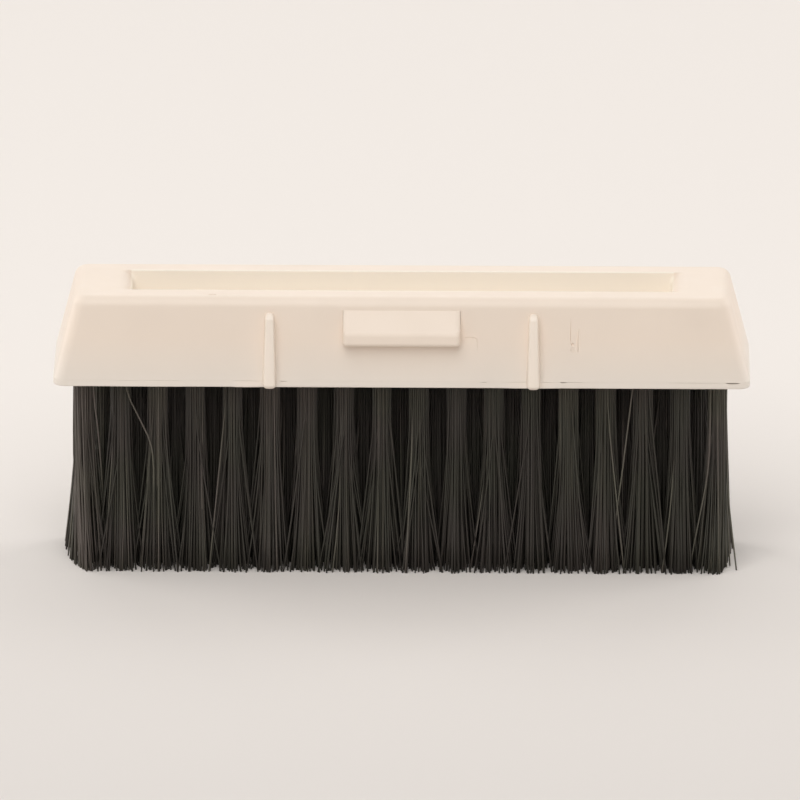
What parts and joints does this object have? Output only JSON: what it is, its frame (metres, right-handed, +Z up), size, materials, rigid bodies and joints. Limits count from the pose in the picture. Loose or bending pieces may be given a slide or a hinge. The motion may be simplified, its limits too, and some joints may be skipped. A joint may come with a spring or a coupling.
{
  "type": "window track brush",
  "caption": "Long narrow brush head: tapered moulded housing with a socket in its top, side catches and ribs, and staggered rows of fanned filament tufts below.",
  "frame": {"origin": "on the surface the filament tips stand on, under the middle of the head", "axes": "+X along the head, +Z up from the tips to the rim, -Y the front face"},
  "size_m": [0.14, 0.0326, 0.0581],
  "materials": {
    "housing": "satin moulded cream plastic",
    "block": "satin moulded cream plastic",
    "filament": "dull charcoal filament"
  },
  "bodies": {
    "root": {"housing": "housing", "bristle_block": "block", "tuft_column_01": "filament", "tuft_column_02": "filament", "tuft_column_03": "filament", "tuft_column_04": "filament", "tuft_column_05": "filament", "tuft_column_06": "filament", "tuft_column_07": "filament", "tuft_column_08": "filament", "tuft_column_09": "filament", "tuft_column_10": "filament", "tuft_column_11": "filament", "tuft_column_12": "filament", "tuft_column_13": "filament", "tuft_column_14": "filament", "tuft_column_15": "filament", "tuft_column_16": "filament", "tuft_column_17": "filament", "tuft_column_18": "filament"}
  },
  "joints": []
}
